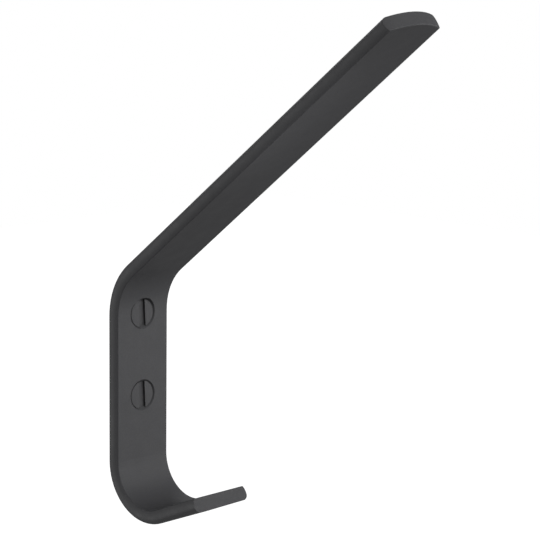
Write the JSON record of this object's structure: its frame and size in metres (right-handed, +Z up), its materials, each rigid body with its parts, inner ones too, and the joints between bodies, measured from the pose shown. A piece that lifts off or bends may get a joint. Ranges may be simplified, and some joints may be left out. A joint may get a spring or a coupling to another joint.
{
  "type": "hat and coat hook",
  "caption": "Wall hook bent from one flat bar: a long straight arm rises outward above the screw plate for a hat, and a short curled lip below it holds a coat.",
  "frame": {"origin": "on the flat back of the upright plate, midway between the two screws and in the middle of the bar's width", "axes": "+X across the bar's width, to the right when facing the wall; -Y out of the wall, along the way the hook projects; +Z up"},
  "size_m": [0.02, 0.1129, 0.1491],
  "materials": {
    "bar_coat": "matt black powder coat with a fine grain",
    "screw_coat": "matt black powder coat"
  },
  "bodies": {
    "root": {"hook": "bar_coat", "screws": "screw_coat"}
  },
  "joints": []
}
